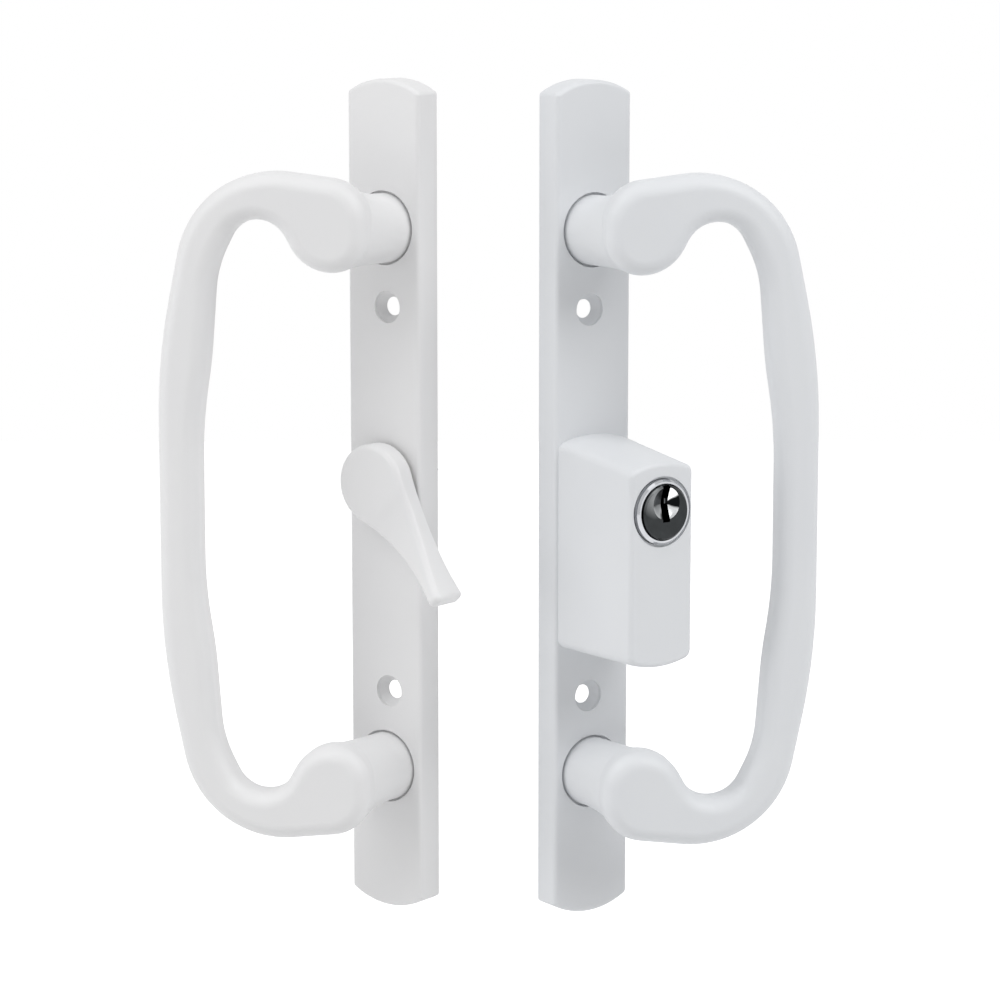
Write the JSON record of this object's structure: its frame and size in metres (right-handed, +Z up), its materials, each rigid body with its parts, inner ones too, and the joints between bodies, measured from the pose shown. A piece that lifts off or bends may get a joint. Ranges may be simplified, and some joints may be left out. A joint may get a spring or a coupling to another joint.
{
  "type": "sliding patio door handle",
  "caption": "Patio door handle set: an inside half with a pull grip and thumb latch, and an outside half with a pull grip and key cylinder.",
  "frame": {"origin": "middle of the inside half's two mounting screw holes, where they come out behind the plate's face wall", "axes": "+Z up along the plates, +Y into the door away from the viewer, +X to the viewer's right; each plate stands turned about Z as in the picture"},
  "size_m": [0.1668, 0.051, 0.2154],
  "materials": {
    "white_paint": "satin white powder coat on die-cast zinc",
    "chrome_plate": "bright chrome plate",
    "dark_chrome": "polished dark nickel",
    "zinc_steel": "zinc-plated steel",
    "brass": "turned brass",
    "white_nylon": "moulded nylon"
  },
  "bodies": {
    "root": {"inside_plate": "white_paint", "inside_grip": "white_paint", "inside_grip_screw_upper": "zinc_steel", "inside_grip_screw_lower": "zinc_steel", "lever_bush": "white_nylon", "lever_spring_washer": "zinc_steel", "outside_plate": "white_paint", "outside_grip": "white_paint", "outside_grip_screw_upper": "zinc_steel", "outside_grip_screw_lower": "zinc_steel", "cylinder_shell": "chrome_plate", "pin_cover": "brass", "cylinder_retainer": "zinc_steel", "retainer_screw_left": "zinc_steel", "retainer_screw_right": "zinc_steel", "driver_pin_1": "brass", "pin_spring_1": "zinc_steel", "driver_pin_2": "brass", "pin_spring_2": "zinc_steel", "driver_pin_3": "brass", "pin_spring_3": "zinc_steel", "driver_pin_4": "brass", "pin_spring_4": "zinc_steel", "driver_pin_5": "brass", "pin_spring_5": "zinc_steel"},
    "latch": {"latch_lever": "white_paint", "lever_clip": "zinc_steel", "lever_tailpiece": "zinc_steel"},
    "plug": {"key_plug": "dark_chrome", "plug_clip": "zinc_steel", "cylinder_tailpiece": "zinc_steel", "tailpiece_pin": "zinc_steel", "key_pin_1": "brass", "key_pin_2": "brass", "key_pin_3": "brass", "key_pin_4": "brass", "key_pin_5": "brass"}
  },
  "joints": [
    {"name": "lever_turn", "type": "hinge", "parent": "root", "child": "latch", "pos_m": [-0.00279, -0.00163, 0.0048], "axis": [0.6129, 0.7902, 0], "range_deg": [0, 84]},
    {"name": "key_turn", "type": "hinge", "parent": "root", "child": "plug", "pos_m": [0.05061, -0.00724, 0.002], "axis": [0.5764, -0.8171, 0], "range_deg": [-90, 90]}
  ]
}
